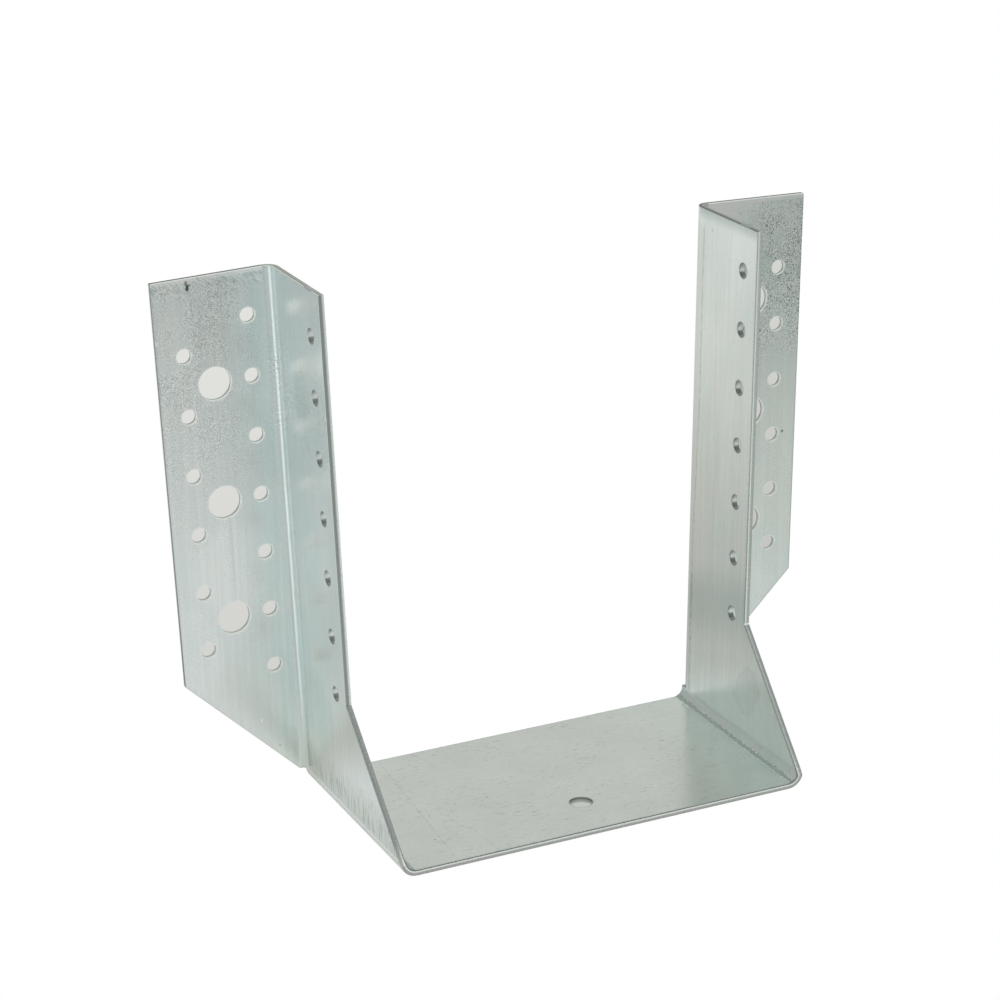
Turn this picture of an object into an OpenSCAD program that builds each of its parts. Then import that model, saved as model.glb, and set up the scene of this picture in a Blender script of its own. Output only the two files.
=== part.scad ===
// Joist hanger: one galvanised steel sheet, folded into a U-shaped cradle with a nailing
// flange turned outwards along the rear edge of each side wall.
// Frame: X across the joist, Y into the header, Z up. The seat stands on z = 0 around the
// origin, and the rear faces of the flanges lie in the header plane at y = seat_d / 2.
// The walls lean slightly outwards, as a folded sheet springs back after the press.

/* [Sheet] */
// Sheet thickness
sheet_t = 2; // [1.5:0.5:3]
// Inner radius of the two bends beside the seat
seat_bend_r = 3.5; // [2:0.5:5]
// Inner radius of the two bends between a wall and its flange
flange_bend_r = 2.5; // [1.5:0.5:4]
// Outward lean of each side wall, in degrees
wall_lean = 1.55; // [0:0.05:3]

/* [Cradle] */
// Clear width between the side walls at the seat
inner_w = 141; // [60:1:260]
// Height from the seat's underside to the top edge
hanger_h = 180; // [140:10:260]
// Length of the seat, from the header plane to its front edge
seat_d = 81; // [70:1:120]
// Gap between the header plane and the seat's rear edge
seat_gap = 1; // [0.5:0.5:3]
// Depth of the narrow upper part of a side wall, from the header plane
wall_d = 42.5; // [40:0.5:60]
// Height at which the wall's front edge starts to run forward and down
taper_top = 44; // [30:1:48]
// Height at which that edge meets the seat's front edge
taper_foot = 4; // [3.5:0.5:5]

/* [Flanges] */
// Width of a flange, from the wall's outer face to the flange's free edge
flange_w = 39.5; // [38:0.5:60]
// Height of the flange's lower outer corner
flange_corner = 44; // [30:1:48]
// Height of the relief, where the flange ends above the seat bend
relief_h = 6; // [6:0.5:10]

/* [Nail holes] */
// Diameter of a nail hole
nail_d = 5; // [4:0.5:6]
// Distance between nail holes in a column
nail_pitch = 20; // [16:1:25]
// Distance from the top edge to the first nail of the wall and of the flange's inner column
nail_top = 15; // [10:1:20]
// Distance from the wall's outer face to the flange's inner column
inner_col = 8.5; // [8:0.5:10]
// Distance from the wall's outer face to the flange's outer column
outer_col = 30.5; // [29:0.5:33]
// Distance from the wall's front edge to its column of nail holes
wall_nail_edge = 8.5; // [7:0.5:12]

/* [Bolt holes] */
// Diameter of a bolt hole
bolt_d = 11; // [9:0.5:13]
// Distance from the top edge to the first bolt hole
bolt_top = 35.5; // [30:0.5:40]
// Distance from the wall's outer face to the column of bolt holes
bolt_col = 21; // [20:0.5:22]

/* [Seat hole] */
// Diameter of the hole in the seat
seat_hole_d = 7.5; // [5:0.5:10]
// Distance from the seat's front edge to the centre of its hole
seat_hole_edge = 19.5; // [15:0.5:30]

/* [Hidden] */
// Outer radii of the bends
seat_ro = seat_bend_r + sheet_t;
flange_ro = flange_bend_r + sheet_t;
// Distance of each seat bend's axis from the middle plane, to a thousandth: the wall's
// inner face then stands inner_w / 2 from that plane at the level of the seat
bend_exact = inner_w / 2 - seat_bend_r * (1 - sin(wall_lean)) / cos(wall_lean);
bend_x = round(1000 * bend_exact) / 1000;
// Length of a wall along its slope, from the seat bend's axis to the top edge
wall_len = (hanger_h - seat_ro + seat_bend_r * sin(wall_lean)) / cos(wall_lean);
// Slope of the wall's front edge, and its depth where the seat bend begins
taper_run = (seat_d - wall_d) / (taper_top - taper_foot);
taper_at_bend = wall_d + taper_run * (taper_top - seat_ro);
// Rows in each column: as many as fit above the flange's lower corner
inner_rows = floor((hanger_h - nail_top - flange_corner) / nail_pitch) + 1;
outer_top = nail_top + nail_pitch / 2;
outer_rows = floor((hanger_h - outer_top - flange_corner) / nail_pitch) + 1;
bolt_pitch = 2 * nail_pitch;
bolt_rows = floor((hanger_h - bolt_top - flange_corner) / bolt_pitch) + 1;
// Length of each drill beyond the sheet's faces
over = 1;
bend_fn = 96;
hole_fn = 48;

// All modules but the last take y = 0 as the header plane. Those from here to side() draw
// the right-hand side about the seat bend's axis: all but seat_bend() are drawn upright and
// lean when side() turns them, with x outwards and z up the wall, where a height over the
// seat's underside is local_z().
function local_z(h) = h - seat_ro;

// Extrudes an outline drawn as [depth, height] through a thickness t from x outwards
module through_wall(x, t) {
    translate([x, 0, 0])
        rotate([90, 0, 90])
            linear_extrude(t)
                children();
}

// Bend between the seat and the leaning wall, with its front end cut along the taper
module seat_bend() {
    foot_run = 2 * taper_run * seat_ro;
    difference() {
        translate([0, -seat_gap, 0])
            rotate([90, 0, 0])
                rotate([0, 0, -90])
                    rotate_extrude(angle = 90 - wall_lean, $fn = bend_fn)
                        translate([seat_bend_r, 0])
                            square([sheet_t, seat_d - seat_gap]);
        rotate([0, wall_lean, 0])
            through_wall(0, seat_ro + over)
                polygon([
                    [-taper_at_bend, 0],
                    [-taper_at_bend - foot_run, -2 * seat_ro],
                    [-taper_at_bend - foot_run, over],
                    [-taper_at_bend, over]
                ]);
    }
}

// Side wall: deep at the seat, tapering up to the narrow part that carries the nails
module wall() {
    through_wall(seat_bend_r, sheet_t)
        polygon([
            [-flange_ro, wall_len],
            [-wall_d, wall_len],
            [-wall_d, local_z(taper_top)],
            [-taper_at_bend, 0],
            [-seat_gap, 0],
            [-seat_gap, local_z(relief_h)],
            [-flange_ro, local_z(relief_h)]
        ]);
}

// Bend that turns the wall's rear edge outwards into the flange
module flange_bend() {
    translate([seat_ro + flange_bend_r, -flange_ro, local_z(relief_h)])
        rotate([0, 0, 90])
            rotate_extrude(angle = 90, $fn = bend_fn)
                translate([flange_bend_r, 0])
                    square([sheet_t, wall_len - local_z(relief_h)]);
}

// Flange against the header, cut off diagonally from its lower outer corner to the relief
module flange() {
    root_x = seat_ro + flange_bend_r;
    edge_x = seat_ro + flange_w;
    rotate([90, 0, 0])
        linear_extrude(sheet_t)
            polygon([
                [root_x, wall_len],
                [edge_x, wall_len],
                [edge_x, local_z(flange_corner)],
                [root_x, local_z(relief_h)]
            ]);
}

// A column of drills through the flange, at a distance out from the wall's outer face
module flange_drills(d, col, top, pitch, rows) {
    for (i = [0 : rows - 1])
        translate([seat_ro + col, over, wall_len - top - i * pitch])
            rotate([90, 0, 0])
                cylinder(d = d, h = sheet_t + 2 * over, $fn = hole_fn);
}

// The column of drills through the wall, near its front edge
module wall_drills() {
    for (i = [0 : inner_rows - 1])
        translate([
            seat_bend_r - over,
            wall_nail_edge - wall_d,
            wall_len - nail_top - i * nail_pitch
        ])
            rotate([0, 90, 0])
                cylinder(d = nail_d, h = sheet_t + 2 * over, $fn = hole_fn);
}

// One side of the hanger: bend, wall, bend and flange, with all their holes
module side() {
    translate([bend_x, 0, seat_ro]) {
        seat_bend();
        rotate([0, wall_lean, 0])
            difference() {
                union() {
                    wall();
                    flange_bend();
                    flange();
                }
                flange_drills(nail_d, inner_col, nail_top, nail_pitch, inner_rows);
                flange_drills(nail_d, outer_col, outer_top, nail_pitch, outer_rows);
                flange_drills(bolt_d, bolt_col, bolt_top, bolt_pitch, bolt_rows);
                wall_drills();
            }
    }
}

// Flat seat that carries the joist, with one hole near its front edge
module seat() {
    difference() {
        translate([-bend_x, -seat_d, 0])
            cube([2 * bend_x, seat_d - seat_gap, sheet_t]);
        translate([0, seat_hole_edge - seat_d, -over])
            cylinder(d = seat_hole_d, h = sheet_t + 2 * over, $fn = hole_fn);
    }
}

// The whole folded sheet, moved so that its seat stands around the origin
module hanger() {
    color([0.72, 0.75, 0.74])
        translate([0, seat_d / 2, 0])
            union() {
                seat();
                side();
                mirror([1, 0, 0])
                    side();
            }
}

hanger();
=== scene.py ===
"""Looks of a galvanised steel joist hanger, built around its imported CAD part.

The hanger keeps its CAD mesh. Modifiers round its sheared edges, and one node material finds where
a point lies on the folded sheet and gives the zinc and the cuts their colour there. In the
material, places on the sheet are in millimetres, and a strength is a part of the zinc's tone.
"""
import math

import bpy
from mathutils import Matrix, Vector

MM = 0.001

# Sizes of the folded sheet in millimetres, the same as in the part's source
SHEET = 2.0
SEAT_BEND_IN = 3.5
SEAT_BEND_OUT = SEAT_BEND_IN + SHEET
FLANGE_BEND_IN = 2.5
FLANGE_BEND_OUT = FLANGE_BEND_IN + SHEET
FLANGE_ROOT = SEAT_BEND_OUT + FLANGE_BEND_IN
FLANGE_EDGE = SEAT_BEND_OUT + 39.5
FLANGE_SLANT = 1.07
BEND_X = 67.093
LEAN = math.radians(1.55)
REAR = 40.5
WALL_LEN = 174.66
WALL_TOP_ZONE = WALL_LEN - 1.5
FLANGE_EDGE_ZONE = FLANGE_EDGE - 0.6
RELIEF = 0.5
TAPER_TOP = 38.7
NAIL_TOP = 15.0
NAIL_PITCH = 20.0
NAIL_HOLE = 5.0
BOLT_HOLE = 11.0
WALL_HOLES_D = 34.0
# Columns of holes in each flange: distance u, height w of the first, pitch, number and diameter
FLANGE_HOLES = [
    (14.0, WALL_LEN - NAIL_TOP, NAIL_PITCH, 7, NAIL_HOLE),
    (36.0, WALL_LEN - NAIL_TOP - NAIL_PITCH / 2, NAIL_PITCH, 6, NAIL_HOLE),
    (26.5, WALL_LEN - 35.5, 2 * NAIL_PITCH, 3, BOLT_HOLE),
]

# The zinc's own colour, the powers by which its red and blue follow its tone, and the least tone
ZINC_RED = 0.765
ZINC_GREEN = 0.812
ZINC_BLUE = 0.792
RED_POWER = 1.12
BLUE_POWER = 1.03
DARKEST = 0.05
FACE_ROUGHNESS = 0.24
CUT_ROUGHNESS = 0.5
# Tint of the sheared edges: their red above the seat bends and on the seat, their green and blue
CUT_RED = 0.925
SEAT_CUT_RED = 0.98
CUT_GREEN = 0.99
CUT_BLUE = 0.95

# Soft marks on the zinc: place and radii in millimetres, and how much lighter or darker they are
LEFT_FLANGE_MARKS = [
    # A dark dent at the top edge, in three strokes
    ((33.4, 173.2), (0.5, 1.0), -0.60),
    ((33.1, 171.4), (0.6, 0.9), -0.85),
    ((32.6, 172.3), (0.8, 0.5), -0.60),
    # A bright nick by the outer edge, a long faint scratch, and two specks low down
    ((44.6, 155.2), (0.6, 0.8), 0.40),
    ((25.3, 81.0), (0.5, 18.0), -0.07),
    ((20.0, 21.0), (0.4, 0.7), 0.25),
    ((14.4, 10.6), (0.4, 0.5), -0.25),
    # Broad faint clouds
    ((12.0, 45.0), (11.0, 38.0), 0.045),
    ((24.0, 24.0), (13.0, 17.0), 0.015),
    ((40.0, 158.0), (8.0, 22.0), 0.06),
    ((20.0, 116.0), (17.0, 18.0), -0.05),
    ((26.0, 76.0), (14.0, 16.0), 0.05),
    ((40.0, 48.0), (9.0, 18.0), 0.04),
]
LEFT_WALL_MARKS = [
    # Broad faint clouds
    ((22.0, 137.3), (7.0, 12.0), -0.07),
    ((16.0, 27.0), (15.0, 14.0), -0.07),
    # A short bright scratch, and a dark speck above it
    ((11.8, 128.7), (0.4, 1.6), 0.40),
    ((9.0, 136.9), (0.5, 0.7), -0.30),
]
RIGHT_WALL_MARKS = [((13.0, 168.5), (0.8, 0.8), -0.15)]
RIGHT_FLANGE_MARKS = [((40.0, 90.4), (0.6, 0.6), -0.55)]

# Tones of the sheared edges across the sheet's thickness, from its inner face (0) to its outer (1)
SEAT_CUT = [(0.0, 0.13), (0.13, 0.17), (0.21, 0.86), (0.42, 0.86), (0.50, 0.50), (0.95, 0.44), (1.0, 0.52)]
UPRIGHT_RIGHT_CUT = [
    (0.0, 0.40), (0.14, 0.45), (0.23, 1.10), (0.36, 0.90), (0.48, 0.60), (0.90, 0.54), (1.0, 0.46)]
UPRIGHT_LEFT_CUT = [(0.0, 0.85), (0.22, 0.95), (0.40, 0.60), (0.55, 0.37), (0.80, 0.40), (1.0, 0.46)]
TAPER_RIGHT_CUT = [
    (0.0, 0.24), (0.12, 0.28), (0.24, 0.58), (0.45, 0.55), (0.58, 0.40), (0.92, 0.38), (1.0, 0.42)]
TAPER_LEFT_CUT = [(0.0, 0.36), (0.20, 0.40), (0.50, 0.36), (0.75, 0.31), (1.0, 0.36)]
# The level top edges are painted dark where they face up, as shade, with a painted highlight along the front
# on the flanges and the left wall
FLANGE_TOP_CUT = [(0.0, 0.27), (0.62, 0.25), (0.80, 0.85), (1.0, 1.05)]
LEFT_TOP_CUT = [
    (0.0, 0.36), (0.15, 0.40), (0.35, 0.54), (0.60, 0.47), (0.78, 0.38), (0.87, 1.0), (1.0, 1.0)]
RIGHT_TOP_CUT = [(0.0, 0.19), (0.28, 0.19), (0.50, 0.44), (1.0, 0.52)]
FLANGE_HOLE_CUT = [(0.0, 0.85), (0.10, 0.90), (0.20, 0.42), (0.42, 0.45), (0.58, 0.92), (1.0, 1.05)]
SEAT_HOLE_CUT = [(0.0, 0.18), (0.25, 0.24), (0.55, 0.44), (1.0, 0.60)]
WALL_HOLE_LIP = [(0.0, 0.40), (0.16, 1.0), (0.84, 1.0), (1.0, 0.40)]
# Painted shade and a painted glint inside a wall hole, from its lower side (0) to its upper side (1)
WALL_HOLE_GLINT_AND_SHADE = [
    (0.0, 0.45), (0.10, 0.20), (0.27, 0.28), (0.40, 1.05), (0.50, 0.95), (0.66, 0.60), (0.86, 0.45),
    (1.0, 0.25)]

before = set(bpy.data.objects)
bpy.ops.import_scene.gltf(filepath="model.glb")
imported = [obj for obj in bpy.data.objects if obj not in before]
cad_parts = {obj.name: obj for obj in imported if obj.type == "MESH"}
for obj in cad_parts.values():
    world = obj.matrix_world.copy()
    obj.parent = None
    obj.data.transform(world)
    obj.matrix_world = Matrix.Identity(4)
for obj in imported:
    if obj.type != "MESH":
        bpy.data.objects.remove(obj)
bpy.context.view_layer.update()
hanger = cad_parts["hanger"]
scene = bpy.context.scene


class Graph:
    """A node tree, with a short call for each kind of node that is used often."""

    def __init__(self, tree):
        self.nodes = tree.nodes
        self.links = tree.links

    def add(self, kind, **settings):
        node = self.nodes.new(kind)
        for name, value in settings.items():
            setattr(node, name, value)
        return node

    def feed(self, socket, value):
        if isinstance(value, bpy.types.NodeSocket):
            self.links.new(value, socket)
        else:
            socket.default_value = value

    def math(self, operation, *values):
        node = self.add("ShaderNodeMath", operation=operation)
        for socket, value in zip(node.inputs, values):
            self.feed(socket, value)
        return node.outputs[0]

    def sum(self, first, *others):
        for other in others:
            first = self.math("ADD", first, other)
        return first

    def times(self, first, *others):
        for other in others:
            first = self.math("MULTIPLY", first, other)
        return first

    def less(self, first, second):
        return self.math("SUBTRACT", first, second)

    def over(self, first, second):
        return self.math("DIVIDE", first, second)

    def inverse(self, value):
        """1 where value is 0, and 0 where it is 1."""
        return self.less(1.0, value)

    def size(self, value):
        return self.math("ABSOLUTE", value)

    def larger(self, first, second):
        return self.math("MAXIMUM", first, second)

    def above(self, value, limit):
        return self.math("GREATER_THAN", value, limit)

    def below(self, value, limit):
        return self.math("LESS_THAN", value, limit)

    def squares(self, first, second):
        return self.sum(self.times(first, first), self.times(second, second))

    def blend(self, factor, low, high):
        """low where factor is 0, high where it is 1."""
        node = self.add("ShaderNodeMix", data_type="FLOAT")
        self.feed(node.inputs[0], factor)
        self.feed(node.inputs[2], low)
        self.feed(node.inputs[3], high)
        return node.outputs[0]

    def rise(self, value, start, end, low=0.0, high=1.0):
        """low up to start, high from end on, and smooth between them."""
        node = self.add("ShaderNodeMapRange", interpolation_type="SMOOTHSTEP")
        self.feed(node.inputs["Value"], value)
        if start > end:
            start, end, low, high = end, start, high, low
        self.feed(node.inputs["From Min"], start)
        self.feed(node.inputs["From Max"], end)
        self.feed(node.inputs["To Min"], low)
        self.feed(node.inputs["To Max"], high)
        return node.outputs[0]

    def band(self, value, low, high, soft):
        """1 between low and high, 0 outside, with soft ends."""
        return self.times(self.rise(value, low - soft, low + soft),
                          self.rise(value, high + soft, high - soft))

    def vector(self, x, y, z):
        node = self.add("ShaderNodeCombineXYZ")
        for socket, value in zip(node.inputs, (x, y, z)):
            self.feed(socket, value)
        return node.outputs[0]

    def split(self, vector):
        node = self.add("ShaderNodeSeparateXYZ")
        self.feed(node.inputs[0], vector)
        return node.outputs

    def place(self, kind):
        """Texture coordinates of the given kind, as one vector."""
        return self.add("ShaderNodeTexCoord").outputs[kind]

    def noise(self, x, y, z, cell, detail=2.0, roughness=0.5):
        """Noise around 0, whose cells have the size (x, y, z) in millimetres."""
        place = self.vector(*(self.over(v, c) for v, c in zip((x, y, z), cell)))
        node = self.add("ShaderNodeTexNoise")
        self.feed(node.inputs["Vector"], place)
        node.inputs["Scale"].default_value = 1.0
        node.inputs["Detail"].default_value = detail
        node.inputs["Roughness"].default_value = roughness
        return self.less(node.outputs["Fac"], 0.5)

    def ramp(self, value, stops):
        node = self.add("ShaderNodeValToRGB")
        self.feed(node.inputs[0], value)
        elements = node.color_ramp.elements
        while len(elements) < len(stops):
            elements.new(0.5)
        for element, (place, tone) in zip(elements, stops):
            element.position = place
            element.color = (tone, tone, tone, 1.0)
        return node.outputs[0]

    def light(self, kind, colour, strength):
        """An emission or background shader."""
        node = self.add(kind)
        self.feed(node.inputs["Color"], colour)
        self.feed(node.inputs["Strength"], strength)
        return node.outputs[0]

    def mix(self, factor, first, second):
        """The first shader where factor is 0, the second where it is 1."""
        node = self.add("ShaderNodeMixShader")
        for socket, value in zip(node.inputs, (factor, first, second)):
            self.feed(socket, value)
        return node.outputs[0]

    def clear(self):
        return self.add("ShaderNodeBsdfTransparent").outputs[0]

    def camera_ray(self):
        return self.add("ShaderNodeLightPath").outputs["Is Camera Ray"]

    def backfacing(self):
        return self.add("ShaderNodeNewGeometry").outputs["Backfacing"]


def empty_graph(owner, output):
    """The emptied node tree of a world or material, and its surface socket."""
    owner.use_nodes = True
    owner.node_tree.nodes.clear()
    graph = Graph(owner.node_tree)
    return graph, graph.add(output).inputs["Surface"]


def new_object(name, data):
    item = bpy.data.objects.new(name, data)
    scene.collection.objects.link(item)
    return item


def add_camera():
    """A long lens at the front left, looking down on the hanger."""
    azimuth = math.radians(24.859)
    elevation = math.radians(19.993)
    roll = math.radians(-1.194)
    distance = 0.93946
    aim = Vector((-0.01273, 0.00972, 0.09953))
    forward = Vector((
        math.sin(azimuth) * math.cos(elevation),
        math.cos(azimuth) * math.cos(elevation),
        -math.sin(elevation),
    ))
    level = Vector((math.cos(azimuth), -math.sin(azimuth), 0.0))
    upright = level.cross(forward)
    right = level * math.cos(roll) + upright * math.sin(roll)
    up = upright * math.cos(roll) - level * math.sin(roll)
    data = bpy.data.cameras.new("camera")
    data.lens = 104.677
    data.sensor_width = 36.0
    data.clip_start = 0.01
    data.clip_end = 50.0
    camera = new_object("camera", data)
    turn = Matrix((right, up, -forward)).transposed().to_4x4()
    camera.matrix_world = Matrix.Translation(aim - forward * distance) @ turn
    scene.camera = camera


def white_to_camera(graph, kind, lit, strength=1.0, tint=(1.0, 1.0, 1.0, 1.0)):
    """White where the camera looks straight at it, and lit in every reflection."""
    return graph.mix(graph.camera_ray(), lit, graph.light(kind, tint, strength))


def add_world():
    """Soft studio light from all round, a little warmer behind the hanger."""
    world = bpy.data.worlds.new("studio")
    scene.world = world
    graph, surface = empty_graph(world, "ShaderNodeOutputWorld")
    # The direction that is looked in, each part from -1 to 1
    x, y, z = graph.split(graph.place("Generated"))
    behind = graph.rise(y, -0.6, 0.6)
    aside = graph.rise(x, -0.4, 0.4, low=0.55, high=0.635)
    overhead = graph.rise(z, 0.5, 1.0, low=0.0, high=0.35)
    tint = graph.vector(graph.blend(behind, 0.97, 1.0), 1.0, graph.blend(behind, 1.0, 0.945))
    lit = graph.light("ShaderNodeBackground", tint, graph.sum(aside, overhead))
    graph.feed(surface, white_to_camera(graph, "ShaderNodeBackground", lit))


def mirrored_floor(graph, x, y):
    """The floor as the zinc mirrors it, with places in metres.

    It glows with painted light: bright in front and to the left, with painted shade just behind the hanger.
    """
    near = graph.rise(y, 0.02, 0.07)
    front = graph.sum(0.86, graph.times(x, -0.5), graph.times(y, 0.55))
    front = graph.math("MINIMUM", graph.larger(front, 0.40), 0.76)
    rear = graph.rise(y, 0.08, 0.55, low=0.535, high=0.755)
    # Slope of the way from the left bend to a point: small where it lies straight to the left
    slope = graph.over(graph.less(0.036, y), graph.less(-0.075, x))
    leftward = graph.rise(x, -0.10, -0.16)
    glow = graph.times(graph.band(slope, -0.14, 0.36, 0.12), leftward, 0.36)
    shade = graph.times(graph.band(slope, 0.45, 1.35, 0.15), leftward, -0.14)
    far_left = graph.times(graph.rise(x, -0.19, -0.25), graph.rise(y, 0.22, 0.30), 0.03)
    # What the left wall mirrors through the flange's holes: brighter further back, and cooler
    aslant = graph.sum(x, graph.times(y, 0.463))
    through = graph.times(graph.rise(aslant, -0.01, -0.05), graph.rise(y, 0.12, 0.17))
    beyond = graph.times(through, graph.rise(y, 0.16, 0.31, low=0.04, high=0.15))
    strength = graph.sum(graph.blend(near, front, rear), shade, glow, far_left, beyond)
    # Its tint: warmer at the front right, cooler to the left
    warm = graph.rise(x, 0.0, 0.25)
    cool = graph.blend(near, graph.rise(x, -0.09, -0.17),
                       graph.larger(through, graph.rise(x, -0.24, -0.34)))
    red = graph.blend(near, 0.965, graph.blend(cool, 1.0, 0.965))
    front_blue = graph.blend(cool, graph.blend(warm, 0.99, 0.95), 1.02)
    rear_blue = graph.blend(cool, 0.945, 1.0)
    tint = graph.vector(red, 1.0, graph.blend(near, front_blue, rear_blue))
    return graph.light("ShaderNodeEmission", tint, strength)


def add_floor():
    """A floor that is white to the camera, and in reflections glows pale and uneven with painted light and
    shade.
    """
    mesh = bpy.data.meshes.new("floor")
    reach = 4.0
    level = -0.2 * MM
    corners = [(-reach, -reach, level), (reach, -reach, level), (reach, reach, level), (-reach, reach, level)]
    mesh.from_pydata(corners, [], [(0, 1, 2, 3)])
    floor = new_object("floor", mesh)
    material = bpy.data.materials.new("white_floor")
    graph, surface = empty_graph(material, "ShaderNodeOutputMaterial")
    x, y, _ = graph.split(graph.place("Object"))
    lit = mirrored_floor(graph, x, y)
    # Under the seat it lies in shadow, which the camera sees through the seat's hole
    under = graph.times(graph.rise(graph.size(x), 0.068, 0.060), graph.rise(graph.size(y), 0.036, 0.030))
    shown = graph.blend(under, 1.0, 0.56)
    shown_tint = graph.vector(graph.blend(under, 1.0, 0.955), 1.0, graph.blend(under, 1.0, 0.945))
    opaque = white_to_camera(graph, "ShaderNodeEmission", lit, shown, shown_tint)
    # A camera under the floor looks through it, at the hanger's underside
    from_below = graph.times(graph.camera_ray(), graph.backfacing())
    graph.feed(surface, graph.mix(from_below, opaque, graph.clear()))
    mesh.materials.append(material)


def add_softbox(name, place, target, size, watts, colour):
    data = bpy.data.lights.new(name, "AREA")
    data.shape = "RECTANGLE"
    data.size = size[0]
    data.size_y = size[1]
    data.energy = watts
    data.color = colour
    lamp = new_object(name, data)
    direction = Vector(target) - Vector(place)
    turn = direction.to_track_quat("-Z", "Y").to_matrix().to_4x4()
    lamp.matrix_world = Matrix.Translation(place) @ turn


def add_backdrop():
    """Glowing grey discs just behind the flange holes, a painted stand-in for the studio wall seen through
    them, dimmer low down and on the right.
    """
    points = []
    faces = []
    corners = 24
    margin = 0.6
    gap = 0.05
    for side in (-1, 1):
        for u, top, pitch, rows, diameter in FLANGE_HOLES:
            for row in range(rows):
                w = top - row * pitch
                centre_x = BEND_X + u * math.cos(LEAN) + w * math.sin(LEAN)
                centre_z = SEAT_BEND_OUT - u * math.sin(LEAN) + w * math.cos(LEAN)
                radius = diameter / 2 + margin
                faces.append(range(len(points), len(points) + corners))
                for step in range(corners):
                    turn = 2 * math.pi * step / corners
                    x = side * centre_x + radius * math.cos(turn)
                    z = centre_z + radius * math.sin(turn)
                    points.append((x * MM, (REAR + gap) * MM, z * MM))
    mesh = bpy.data.meshes.new("backdrop")
    mesh.from_pydata(points, [], faces)
    backdrop = new_object("backdrop", mesh)
    material = bpy.data.materials.new("glowing_wall_behind_holes")
    graph, surface = empty_graph(material, "ShaderNodeOutputMaterial")
    x, _, z = graph.split(graph.place("Object"))
    left = graph.rise(z, 0.03, 0.17, low=0.645, high=0.755)
    right = graph.rise(z, 0.03, 0.17, low=0.55, high=0.66)
    strength = graph.blend(graph.above(x, 0.0), left, right)
    wall = graph.light("ShaderNodeEmission", (1.0, 1.0, 0.962, 1.0), strength)
    # It shows to the camera from the front alone: from behind, and to the light, the holes are open
    from_front = graph.times(graph.camera_ray(), graph.inverse(graph.backfacing()))
    graph.feed(surface, graph.mix(from_front, graph.clear(), wall))
    mesh.materials.append(material)


class Sheet:
    """Where a point lies on the folded sheet, in millimetres, as sockets of a graph."""

    def __init__(self, graph):
        scale = graph.add("ShaderNodeVectorMath", operation="SCALE")
        graph.feed(scale.inputs[0], graph.place("Object"))
        scale.inputs["Scale"].default_value = 1.0 / MM
        self.x, self.y, self.z = graph.split(scale.outputs[0])
        shape = graph.add("ShaderNodeNewGeometry")
        face_x, self.face_y, self.face_z = graph.split(shape.outputs["True Normal"])
        self.left = graph.below(self.x, 0.0)
        self.right = graph.above(self.x, 0.0)
        # u runs outwards from the seat bend's axis, w up along the wall, d forward from the header
        cosine = math.cos(LEAN)
        sine = math.sin(LEAN)
        self.outward = graph.less(graph.size(self.x), BEND_X)
        upward = graph.less(self.z, SEAT_BEND_OUT)
        self.u = graph.less(graph.times(self.outward, cosine), graph.times(upward, sine))
        self.w = graph.sum(graph.times(self.outward, sine), graph.times(upward, cosine))
        self.d = graph.less(REAR, self.y)
        # How far the face looks along u and along w
        out_x = graph.times(face_x, graph.math("SIGN", self.x))
        self.face_u = graph.less(graph.times(out_x, cosine), graph.times(self.face_z, sine))
        self.face_w = graph.sum(graph.times(out_x, sine), graph.times(self.face_z, cosine))
        # Each zone is 1 on its own part of the sheet and 0 elsewhere
        self.low = graph.below(self.w, RELIEF)
        self.above = graph.inverse(self.low)
        self.seat = graph.times(self.low, graph.below(self.outward, 0.0))
        self.seat_bend = graph.times(self.low, graph.above(self.outward, 0.0))
        self.flange = graph.times(self.above, graph.above(self.u, FLANGE_ROOT))
        rear = graph.times(self.above, graph.below(self.d, FLANGE_BEND_OUT))
        self.flange_bend = graph.times(rear, graph.inverse(self.flange))
        self.wall = graph.less(graph.less(self.above, self.flange), self.flange_bend)
        self.cut = self.find_cut(graph)
        self.depth = self.find_depth(graph)
        self.outer = graph.above(self.depth, 0.5)
        self.inner = graph.inverse(self.outer)
        # Turn round the seat bend: 0 where it leaves the seat, a right angle where it meets the wall
        self.turn = graph.math("ARCTAN2", self.outward, graph.less(SEAT_BEND_OUT, self.z))
        # Turn round the flange bend: 0 where it leaves the flange, a right angle at the wall
        self.flange_turn = graph.math("ARCTAN2", graph.less(FLANGE_ROOT, self.u),
                                      graph.less(FLANGE_BEND_OUT, self.d))
        # Height above the flange's slanting lower edge
        slant = graph.times(graph.less(self.u, SEAT_BEND_OUT), FLANGE_SLANT)
        self.over_slant = graph.less(self.w, slant)

    def find_cut(self, graph):
        """1 on the sheared edges and in the holes, 0 on the sheet's two faces."""
        across = graph.above(graph.size(self.face_y), 0.5)
        upright = graph.below(graph.size(self.face_z), 0.5)
        return graph.sum(
            graph.times(self.seat, upright),
            graph.times(self.seat_bend, across),
            graph.times(self.wall, graph.below(graph.size(self.face_u), 0.5)),
            graph.times(self.flange_bend, graph.above(graph.size(self.face_w), 0.5)),
            graph.times(self.flange, graph.inverse(across)),
        )

    def find_depth(self, graph):
        """0 on the face that holds the joist and meets the header, 1 on the other face."""
        from_seat_axis = graph.squares(self.outward, graph.less(self.z, SEAT_BEND_OUT))
        from_flange_axis = graph.squares(graph.less(self.u, FLANGE_ROOT), graph.less(self.d, FLANGE_BEND_OUT))
        depth = graph.sum(
            graph.times(self.seat, graph.less(SHEET, self.z)),
            graph.times(self.seat_bend, graph.less(graph.math("SQRT", from_seat_axis), SEAT_BEND_IN)),
            graph.times(self.wall, graph.less(self.u, SEAT_BEND_IN)),
            graph.times(self.flange_bend, graph.less(FLANGE_BEND_OUT, graph.math("SQRT", from_flange_axis))),
            graph.times(self.flange, self.d),
        )
        return graph.over(depth, SHEET)


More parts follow.
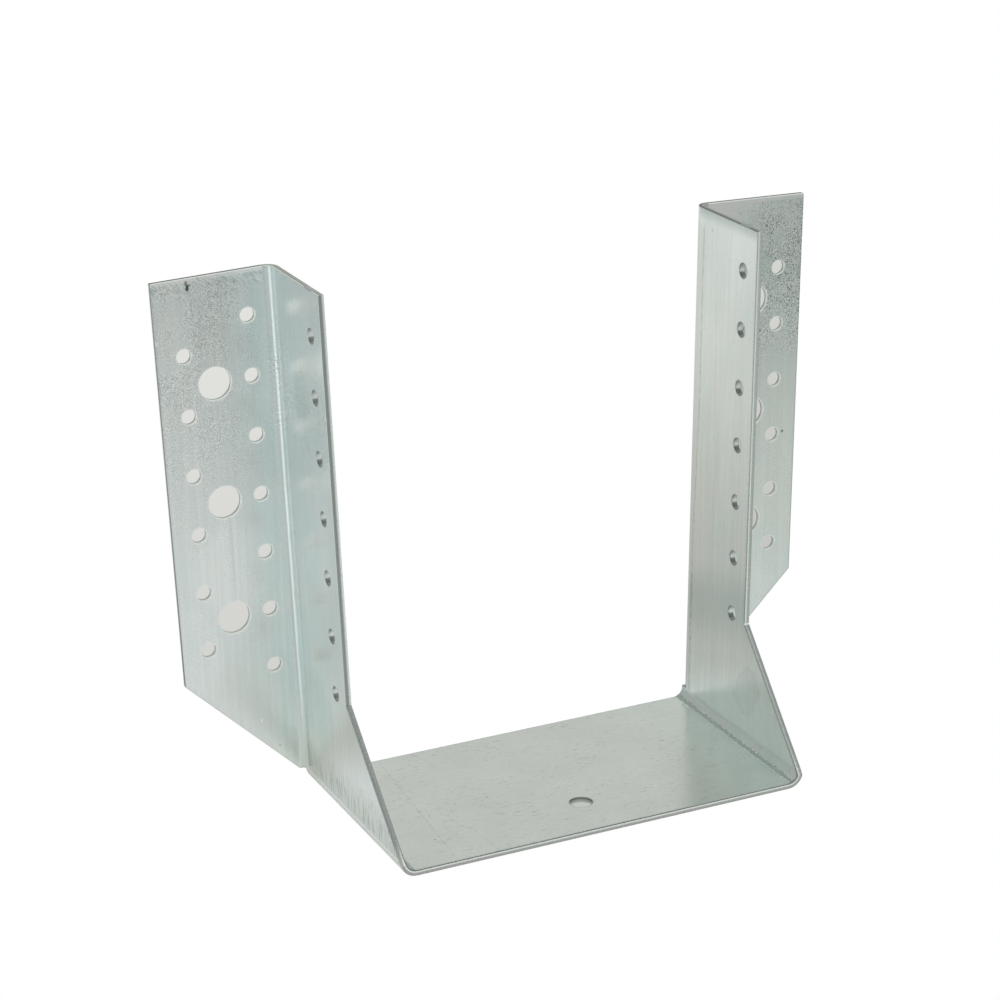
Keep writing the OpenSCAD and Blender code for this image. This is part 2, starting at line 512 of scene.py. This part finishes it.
def galvanised():
    """Zinc-coated sheet: grain, rolling streaks and scratches, its sheared edges, and painted highlight and
    shade at the edges, bends and holes.
    """
    material = bpy.data.materials.new("galvanised")
    material.use_nodes = True
    graph = Graph(material.node_tree)
    bsdf = graph.nodes["Principled BSDF"]
    sheet = Sheet(graph)
    face = graph.sum(1.0, face_grain(graph, sheet), face_streaks(graph, sheet), rim_highlight_and_shade(graph, sheet))
    face = graph.times(face, marks_and_painted_light(graph, sheet), bend_shade_and_highlight(graph, sheet))
    face = graph.larger(face, DARKEST)
    # The zinc is bluer where it is darker, and its hue drifts from place to place
    hue = graph.noise(sheet.x, sheet.y, sheet.z, (13.0, 13.0, 20.0), detail=3.0)
    drift = graph.times(hue, graph.blend(sheet.seat, 0.10, 0.02))
    warmth = graph.sum(1.0, drift, face_warmth(graph, sheet))
    coolness = graph.sum(1.0, graph.times(hue, -0.03), graph.times(left_foot(graph, sheet), -0.035))
    red = graph.times(graph.math("POWER", face, RED_POWER), ZINC_RED, warmth)
    green = graph.times(face, ZINC_GREEN)
    blue = graph.times(graph.math("POWER", face, BLUE_POWER), ZINC_BLUE, coolness)
    edge = cut_tone(graph, sheet)
    edge_red = graph.times(edge, graph.blend(sheet.low, CUT_RED, SEAT_CUT_RED))
    colour = graph.vector(graph.blend(sheet.cut, red, edge_red),
                          graph.blend(sheet.cut, green, graph.times(edge, CUT_GREEN)),
                          graph.blend(sheet.cut, blue, graph.times(edge, CUT_BLUE)))
    graph.feed(bsdf.inputs["Base Color"], colour)
    bsdf.inputs["Metallic"].default_value = 1.0
    graph.feed(bsdf.inputs["Roughness"], graph.blend(sheet.cut, FACE_ROUGHNESS, CUT_ROUGHNESS))
    return material


def left_foot(graph, sheet):
    """1 on the left side's outer faces up to 6 mm above the seat bend, and 0 from 16 mm on."""
    return graph.times(sheet.left, sheet.outer, graph.rise(sheet.w, 16.0, 6.0))


def from_strip(graph, sheet):
    """How far a point of the right wall lies from the strip along its rear edge, in millimetres."""
    return graph.sum(sheet.d, graph.rise(sheet.w, 50.0, 110.0, low=-6.0, high=-7.8))


def mirrored_shade_band(graph, sheet):
    """1 in a band across the right wall that is painted darker, as painted shade for a dim reflection; it
    comes down towards the rear.
    """
    height = graph.sum(sheet.w, graph.times(graph.less(40.0, sheet.d), 0.25))
    return graph.band(height, 34.0, 53.0, 8.0)


def face_warmth(graph, sheet):
    """What each zone has more of red than the rest, or less of it."""
    left_flange = graph.times(sheet.left, sheet.flange)
    right_flange = graph.times(sheet.right, sheet.flange)
    inner_right = graph.times(sheet.right, sheet.wall, sheet.inner)
    # Each term is a zone, a place on it, and how much more red it has there
    return graph.sum(
        graph.times(left_flange, graph.rise(sheet.u, 15.5, 12.5), -0.035),
        graph.times(left_flange, graph.rise(sheet.u, 16.0, 26.0), 0.016),
        graph.times(sheet.left, sheet.flange_bend, graph.rise(sheet.flange_turn, 1.1, 0.7), -0.025),
        graph.times(left_foot(graph, sheet), 0.03),
        graph.times(right_flange, graph.rise(sheet.w, 100.0, 150.0), -0.045),
        graph.times(right_flange, graph.rise(sheet.w, 146.0, 160.0), graph.rise(sheet.u, 24.0, 12.0), -0.03),
        graph.times(inner_right, graph.rise(from_strip(graph, sheet), 0.2, -0.4), 0.035),
        graph.times(inner_right, mirrored_shade_band(graph, sheet), -0.045),
        graph.times(inner_right, graph.rise(sheet.w, 24.0, 8.0), -0.04),
        graph.times(sheet.seat_bend, sheet.inner, -0.05),
        graph.times(sheet.seat, graph.rise(sheet.x, 38.0, 60.0, low=-0.012, high=-0.035)),
    )


def rim_highlight_and_shade(graph, sheet):
    """The zinc's tone right beside a sheared edge, as painted highlight and shade: lighter round the flange
    holes, darker along most other edges.
    """
    rim = edge_rim(graph)
    beside = graph.larger(graph.rise(sheet.u, FLANGE_EDGE - 1.4, FLANGE_EDGE - 1.2),
                          graph.rise(sheet.over_slant, 3.0, 2.5))
    top = graph.rise(sheet.w, WALL_LEN - 1.3, WALL_LEN - 1.1)
    border = graph.blend(sheet.right, -0.14, -0.46)
    # On the flanges: a painted highlight round the holes, and painted shade beside the outer and slanting
    # edges
    on_flange = graph.blend(graph.times(beside, graph.inverse(top)), graph.blend(top, 0.24, 0.0), border)
    on_seat = graph.times(graph.sum(sheet.seat, sheet.seat_bend), sheet.inner, -0.55)
    inner_wall = graph.blend(sheet.right, 0.10, -0.34)
    on_wall = graph.times(graph.sum(sheet.wall, sheet.flange_bend),
                          graph.blend(sheet.outer, inner_wall, -0.13))
    return graph.times(rim, graph.sum(graph.times(sheet.flange, on_flange), on_seat, on_wall))


def edge_rim(graph):
    """1 within half a millimetre of a sheared edge, fading to 0 away from it."""
    radius = 0.9 * MM
    bevel = graph.add("ShaderNodeBevel", samples=6)
    bevel.inputs["Radius"].default_value = radius
    shape = graph.add("ShaderNodeNewGeometry")
    turn = graph.add("ShaderNodeVectorMath", operation="DOT_PRODUCT")
    graph.feed(turn.inputs[0], bevel.outputs[0])
    graph.feed(turn.inputs[1], shape.outputs["Normal"])
    return graph.rise(turn.outputs["Value"], 0.995, 0.95)


def bend_shade_and_highlight(graph, sheet):
    """Painted shade along the bends: a ragged dark groove inside the seat bends, dark lines outside every
    bend, and a faint painted highlight where the flange bends meet the walls.
    """
    ragged = graph.noise(sheet.x, sheet.y, sheet.z, (0.5, 1.1, 0.5), detail=3.0, roughness=0.7)
    wander = graph.sum(sheet.turn, graph.times(ragged, 0.85))
    inside = graph.times(sheet.seat_bend, sheet.inner)
    outside = graph.times(sheet.seat_bend, sheet.outer)
    flange_bend = graph.times(sheet.flange_bend, sheet.outer)
    hairline = graph.times(graph.band(sheet.turn, 1.36, 1.46, 0.04), graph.rise(sheet.y, -10.0, 25.0), -0.10)
    # Each term is a zone, a part of the turn in radians, and how much lighter or darker it is there
    return graph.sum(
        1.0,
        graph.times(inside, graph.rise(sheet.turn, 0.55, 0.75), graph.rise(sheet.turn, 1.5, 1.2), -0.17),
        graph.times(inside, graph.band(wander, 0.22, 0.62, 0.10), -0.46),
        graph.times(inside, hairline),
        graph.times(outside, graph.band(wander, 1.26, 1.42, 0.08), -0.30),
        graph.times(outside, graph.rise(sheet.turn, 1.3, 1.1), -0.06),
        graph.times(flange_bend, graph.band(sheet.flange_turn, 0.16, 0.55, 0.14), -0.13),
        graph.times(flange_bend, graph.band(sheet.flange_turn, 0.55, 1.1, 0.15),
                    graph.rise(sheet.w, 100.0, 40.0), -0.13),
        graph.times(flange_bend, graph.rise(sheet.flange_turn, 1.0, 1.25), 0.03),
    )


def face_grain(graph, sheet):
    """Fine grain of the zinc, strong near the top of the flanges, and broad clouds."""
    grain = graph.noise(sheet.x, sheet.y, sheet.z, (0.40, 0.40, 0.40), detail=1.0, roughness=0.9)
    cloud = graph.noise(sheet.x, sheet.y, sheet.z, (20.0, 20.0, 34.0), detail=3.0)
    patch = graph.noise(sheet.x, sheet.y, sheet.z, (6.0, 6.0, 9.0), detail=3.0)
    rough_left = graph.times(sheet.left, sheet.flange, graph.rise(sheet.w, 80.0, 160.0),
                             graph.rise(sheet.u, 8.0, 26.0))
    rough_right = graph.times(sheet.right, sheet.flange, graph.rise(sheet.w, 114.0, 134.0),
                              graph.rise(sheet.w, WALL_LEN + 2.0, WALL_LEN - 12.0, low=0.4))
    rough_bend = graph.times(sheet.left, sheet.above, graph.band(sheet.w, 118.0, 146.0, 6.0),
                             graph.band(sheet.u, 4.6, 8.6, 1.0))
    depth = graph.sum(0.30, graph.times(rough_left, 1.25), graph.times(rough_right, 2.9), rough_bend)
    depth = graph.times(depth, graph.rise(patch, -0.14, 0.14, low=0.35, high=1.3))
    # A hatching at 45 degrees under the left flange's top edge
    across = graph.times(graph.less(sheet.u, sheet.w), 0.7)
    along = graph.times(graph.sum(sheet.u, sheet.w), 0.7)
    hatch = graph.noise(across, along, 0.0, (0.5, 3.2, 1.0), detail=1.0)
    hatched = graph.times(sheet.left, sheet.flange, graph.rise(sheet.w, WALL_LEN - 9.0, WALL_LEN - 2.0))
    return graph.sum(graph.times(grain, depth), graph.times(cloud, 0.15), graph.times(hatch, hatched))


def face_streaks(graph, sheet):
    """Streaks of the rolling mill: up the walls and flanges, and across the seat."""
    upright = graph.noise(sheet.x, sheet.y, sheet.z, (1.3, 1.3, 70.0), detail=2.0)
    fine = graph.noise(sheet.x, sheet.y, sheet.z, (3.0, 0.55, 3.0), detail=2.0, roughness=0.6)
    broad = graph.noise(sheet.x, sheet.y, sheet.z, (9.0, 1.6, 6.0), detail=1.0)
    sparse = graph.rise(graph.noise(sheet.x, sheet.y, 7.0, (14.0, 9.0, 1.0)), -0.10, 0.08, low=0.3)
    strokes = graph.sum(graph.times(graph.rise(fine, 0.14, 0.18), sparse, -0.36),
                        graph.times(graph.rise(fine, -0.15, -0.24), 0.12), graph.times(broad, 0.04))
    flat = graph.sum(sheet.seat, sheet.seat_bend)
    # The walls' outer faces are scraped near the seat, in short upright cuts
    scrape = graph.noise(sheet.d, sheet.w, 0.0, (0.42, 9.0, 1.0), detail=1.0, roughness=0.5)
    clump = graph.noise(sheet.d, sheet.w, 4.0, (5.0, 9.0, 1.0), detail=1.0)
    height = graph.sum(sheet.w, graph.times(clump, 16.0))
    outer_wall = graph.times(sheet.wall, sheet.outer)
    scraped = graph.times(outer_wall, graph.rise(height, 11.0, 9.0))
    return graph.sum(
        graph.times(graph.inverse(flat), upright, 0.16),
        graph.times(flat, strokes),
        # The outer walls are also darker towards the bottom, near the seat bend
        graph.times(outer_wall, graph.rise(sheet.w, 17.0, 3.0), -0.19),
        graph.times(scraped, graph.rise(scrape, 0.08, 0.15), -0.45),
        graph.times(scraped, graph.rise(scrape, -0.10, -0.2), 0.14),
    )


def soft_marks(graph, zone, across, along, marks):
    """Spots that are full at their place and gone beyond their radii, as one sum."""
    spots = []
    for place, radii, strength in marks:
        first = graph.over(graph.less(across, place[0]), radii[0])
        second = graph.over(graph.less(along, place[1]), radii[1])
        spot = graph.rise(graph.squares(first, second), 1.3, 0.3)
        spots.append(graph.times(zone, spot, strength))
    return graph.sum(*spots)


def leaf_stain(graph, sheet, zone):
    """A leaf-shaped stain low on the right wall, darkest along its outline."""
    blade = graph.over(graph.sum(sheet.w, graph.times(sheet.d, -0.33), -0.1), 9.5)
    uneven = graph.noise(sheet.d, sheet.w, 11.0, (3.5, 5.0, 1.0), detail=3.0, roughness=0.6)
    half = graph.over(graph.size(graph.sum(sheet.d, -45.9, graph.times(uneven, 9.0))), 8.0)
    leaf = graph.sum(half, graph.times(blade, blade))
    return graph.sum(graph.times(zone, graph.rise(leaf, 1.05, 0.85), -0.05),
                     graph.times(zone, graph.band(leaf, 0.86, 1.02, 0.06), -0.06))


def rear_strip(graph, sheet, ragged):
    """A darker strip along the right wall's rear edge, with a ragged line beside it."""
    strip = graph.times(sheet.right, graph.sum(sheet.wall, sheet.flange_bend), sheet.inner,
                        graph.rise(sheet.w, 169.5, 167.5))
    beyond = from_strip(graph, sheet)
    line = graph.times(strip, graph.band(beyond, -0.7, 0.4, 0.35), graph.rise(ragged, -0.12, 0.06))
    return graph.sum(graph.times(strip, graph.rise(beyond, 0.2, -0.4), -0.05),
                     graph.times(line, graph.rise(sheet.w, 60.0, 20.0, low=-0.17, high=-0.24)))


def seat_scratches(graph, sheet, ragged):
    """One long scratch from front to rear near the left bend, and two fine cracks beside it."""
    slant = graph.sum(sheet.x, graph.times(sheet.y, -0.08))
    scratch = graph.times(graph.band(slant, -50.0, -49.6, 0.3), graph.rise(ragged, -0.04, 0.06), -0.20)
    bent = graph.noise(sheet.x, sheet.y, 0.0, (6.0, 9.0, 1.0), detail=2.0)
    crack = graph.sum(sheet.x, graph.times(sheet.y, 0.16), graph.times(bent, 7.0))
    torn = graph.rise(graph.noise(sheet.x, sheet.y, 3.0, (3.0, 3.0, 1.0)), 0.0, 0.06)
    half_width = 0.12
    lines = [scratch]
    for place in (-49.5, -45.0):
        line = graph.band(crack, place - half_width, place + half_width, 0.16)
        lines.append(graph.times(line, torn, -0.22))
    return graph.times(sheet.seat, graph.sum(*lines))


def marks_and_painted_light(graph, sheet):
    """Marks of handling, and painted highlight and shade in places, as a factor on the sheet's tone."""
    ragged = graph.noise(sheet.x, sheet.y, sheet.z, (1.2, 1.2, 2.0), detail=3.0, roughness=0.7)
    left_flange = graph.times(sheet.left, sheet.flange)
    right_flange = graph.times(sheet.right, sheet.flange)
    left_wall = graph.times(sheet.left, sheet.wall, sheet.outer)
    right_wall = graph.times(sheet.right, sheet.wall, sheet.inner)
    # A scored line runs up the right wall
    scored = graph.band(graph.sum(sheet.d, graph.times(sheet.w, 0.035)), 21.8, 22.3, 0.25)
    # A painted highlight runs under the flanges' top edges, widest at the right flange's bend
    top_highlight = graph.rise(sheet.w, WALL_LEN - 1.7, WALL_LEN - 0.2)
    glow = graph.times(graph.rise(sheet.u, 36.0, 6.0), graph.rise(sheet.w, WALL_LEN - 10.0, WALL_LEN))
    # The seat is a little lighter at the rear, towards both bends
    seat_ends = graph.times(graph.rise(graph.size(sheet.x), 38.0, 60.0), graph.rise(sheet.y, -12.0, 14.0))
    # Painted shade darkens the right wall just under its top edge
    top_shade = graph.rise(sheet.w, WALL_LEN - 4.5, WALL_LEN - 0.5)
    # The shades after the marks are each a zone, a place on it, and how much lighter or darker it is
    return graph.sum(
        1.0,
        soft_marks(graph, left_flange, sheet.u, sheet.w, LEFT_FLANGE_MARKS),
        soft_marks(graph, left_wall, sheet.d, sheet.w, LEFT_WALL_MARKS),
        soft_marks(graph, right_wall, sheet.d, sheet.w, RIGHT_WALL_MARKS),
        soft_marks(graph, right_flange, sheet.u, sheet.w, RIGHT_FLANGE_MARKS),
        leaf_stain(graph, sheet, right_wall),
        rear_strip(graph, sheet, ragged),
        seat_scratches(graph, sheet, ragged),
        graph.times(sheet.seat, seat_ends, 0.025),
        # Painted reflection: the left wall is lighter just beside the flange bend
        graph.times(left_wall, graph.band(sheet.d, 2.0, 9.0, 2.5), 0.045),
        graph.times(left_wall, 0.022),
        graph.times(left_flange, 0.018),
        graph.times(left_flange, top_highlight, 0.42),
        graph.times(right_flange, top_highlight, 0.95),
        graph.times(right_flange, glow, 0.60),
        graph.times(right_flange, graph.rise(sheet.w, 100.0, 60.0), -0.05),
        # Painted highlight: the right flange is lighter near its top
        graph.times(right_flange, graph.rise(sheet.w, 150.0, 170.0), 0.13),
        graph.times(right_wall, scored, graph.rise(ragged, -0.08, 0.08), -0.10),
        graph.times(right_wall, graph.band(sheet.w, 138.0, 162.0, 8.0), -0.03),
        # Painted shade in a band across the right wall, for a dim reflection
        graph.times(right_wall, mirrored_shade_band(graph, sheet), -0.155),
        # Painted reflection of the seat: the right wall is lighter just above it
        graph.times(right_wall, graph.rise(sheet.w, 24.0, 8.0), 0.09),
        graph.times(right_wall, top_shade, -0.24),
    )


def cut_tone(graph, sheet):
    """A sheared edge: dark roll-over, a bright burnished band, then a grey broken one."""
    chips = graph.noise(sheet.x, sheet.y, sheet.z, (0.5, 0.5, 0.6), detail=2.0, roughness=0.8)
    over_taper = graph.rise(sheet.w, TAPER_TOP - 0.3, TAPER_TOP + 0.3)
    on_left = graph.blend(over_taper, graph.ramp(sheet.depth, TAPER_LEFT_CUT),
                          graph.ramp(sheet.depth, UPRIGHT_LEFT_CUT))
    upright_right = graph.times(graph.ramp(sheet.depth, UPRIGHT_RIGHT_CUT),
                                graph.rise(sheet.w, 60.0, 150.0, low=1.0, high=1.2))
    on_right = graph.blend(over_taper, graph.ramp(sheet.depth, TAPER_RIGHT_CUT), upright_right)
    tone = graph.blend(graph.rise(sheet.w, 6.0, -2.0), graph.blend(sheet.left, on_right, on_left),
                       graph.ramp(sheet.depth, SEAT_CUT))
    # The level edges at the very top, where they face up: painted shade, with a painted highlight along their
    # front on the flanges and the left wall
    at_top = graph.above(sheet.w, WALL_TOP_ZONE)
    wall_top = graph.blend(sheet.right, graph.ramp(sheet.depth, LEFT_TOP_CUT),
                           graph.ramp(sheet.depth, RIGHT_TOP_CUT))
    top = graph.blend(sheet.flange, wall_top, graph.ramp(sheet.depth, FLANGE_TOP_CUT))
    tone = graph.blend(graph.times(at_top, graph.above(sheet.face_w, 0.8)), tone, top)
    # The flange's outer edge is darker, and every edge is chipped
    outer_edge = graph.times(sheet.flange, graph.above(sheet.u, FLANGE_EDGE_ZONE))
    tone = graph.times(tone, graph.blend(outer_edge, 1.0, 0.80))
    tone = graph.times(tone, graph.sum(1.0, graph.times(chips, 1.1)))
    # A bright nick where the right wall's taper begins
    nick = graph.times(sheet.right, graph.band(sheet.w, TAPER_TOP - 0.35, TAPER_TOP + 0.15, 0.1))
    tone = graph.sum(tone, graph.times(nick, sheet.wall, 0.7))
    # The holes in the flanges, in the walls and in the seat
    in_flange = graph.times(sheet.flange, graph.below(sheet.u, FLANGE_EDGE_ZONE),
                            graph.inverse(at_top), graph.above(sheet.over_slant, 2.5))
    tone = graph.blend(in_flange, tone, graph.ramp(sheet.depth, FLANGE_HOLE_CUT))
    around = NAIL_HOLE / 2 + 0.6
    in_wall = graph.times(sheet.wall, graph.band(sheet.d, WALL_HOLES_D - around, WALL_HOLES_D + around, 0.1))
    from_top_hole = graph.less(sheet.w, WALL_LEN - NAIL_TOP)
    over_centre = graph.math("WRAP", from_top_hole, NAIL_PITCH / 2, -NAIL_PITCH / 2)
    # Painted shade and a painted glint inside the wall holes, brighter in the left wall
    hole_glint_and_shade = graph.ramp(graph.sum(0.5, graph.times(over_centre, 1.0 / NAIL_HOLE)), WALL_HOLE_GLINT_AND_SHADE)
    lip = graph.ramp(sheet.depth, WALL_HOLE_LIP)
    tone = graph.blend(in_wall, tone, graph.times(hole_glint_and_shade, lip, graph.blend(sheet.left, 1.0, 1.25)))
    in_seat = graph.times(sheet.seat, graph.below(graph.size(sheet.x), 6.0),
                          graph.above(sheet.y, -REAR + 10.0))
    return graph.blend(in_seat, tone, graph.ramp(sheet.depth, SEAT_HOLE_CUT))


def bevel_weights():
    """Weight 1 on the sharp edges, 0 where the relief meets the flange bend."""
    tree = bpy.data.node_groups.new("bevel_weights", "GeometryNodeTree")
    tree.interface.new_socket("Geometry", in_out="INPUT", socket_type="NodeSocketGeometry")
    tree.interface.new_socket("Geometry", in_out="OUTPUT", socket_type="NodeSocketGeometry")
    graph = Graph(tree)
    start = graph.add("NodeGroupInput")
    end = graph.add("NodeGroupOutput")
    angle = graph.add("GeometryNodeInputMeshEdgeAngle")
    x, y, z = graph.split(graph.add("GeometryNodeInputPosition").outputs[0])
    sharp_from = math.radians(30)
    low = graph.times(graph.below(z, (SEAT_BEND_OUT + 2 * SHEET) * MM),
                      graph.above(z, (SEAT_BEND_OUT + 0.1) * MM))
    rear = graph.above(y, (REAR - FLANGE_BEND_OUT - SHEET) * MM)
    aside = graph.above(graph.size(x), BEND_X * MM)
    sharp = graph.above(angle.outputs["Unsigned Angle"], sharp_from)
    relief = graph.times(low, rear, aside)
    hard = graph.add("GeometryNodeSetShadeSmooth", domain="EDGE")
    graph.feed(hard.inputs["Geometry"], start.outputs[0])
    graph.feed(hard.inputs["Selection"], graph.above(graph.times(sharp, relief), 0.5))
    hard.inputs["Shade Smooth"].default_value = False
    store = graph.add("GeometryNodeStoreNamedAttribute", data_type="FLOAT", domain="EDGE")
    store.inputs["Name"].default_value = "bevel_weight_edge"
    graph.feed(store.inputs["Geometry"], hard.outputs[0])
    graph.feed(store.inputs["Value"], graph.times(sharp, graph.inverse(relief)))
    graph.feed(end.inputs[0], store.outputs[0])
    return tree


def round_edges(piece):
    """Rounds the sheared edges by a fifth of a millimetre, and shades the bends smoothly."""
    weld = piece.modifiers.new("weld", "WELD")
    weld.merge_threshold = 1e-6
    planar = piece.modifiers.new("planar", "DECIMATE")
    planar.decimate_type = "DISSOLVE"
    planar.angle_limit = math.radians(0.2)
    weights = piece.modifiers.new("weights", "NODES")
    weights.node_group = bevel_weights()
    bevel = piece.modifiers.new("bevel", "BEVEL")
    bevel.width = 0.2 * MM
    bevel.segments = 2
    bevel.limit_method = "WEIGHT"
    bevel.use_clamp_overlap = False
    # The bevel leaves points on top of each other at the relief
    close = piece.modifiers.new("close", "WELD")
    close.merge_threshold = 1e-7
    normals = piece.modifiers.new("normals", "WEIGHTED_NORMAL")
    normals.weight = 100
    normals.keep_sharp = True


add_camera()
add_world()
add_floor()
add_backdrop()
add_softbox("key", place=(-0.7, -0.9, 0.9), target=(0.0, 0.0, 0.08), size=(1.5, 1.5), watts=3.2,
            colour=(1.0, 0.99, 0.97))
scene.view_settings.view_transform = "Standard"
hanger.data.materials[0] = galvanised()
round_edges(hanger)
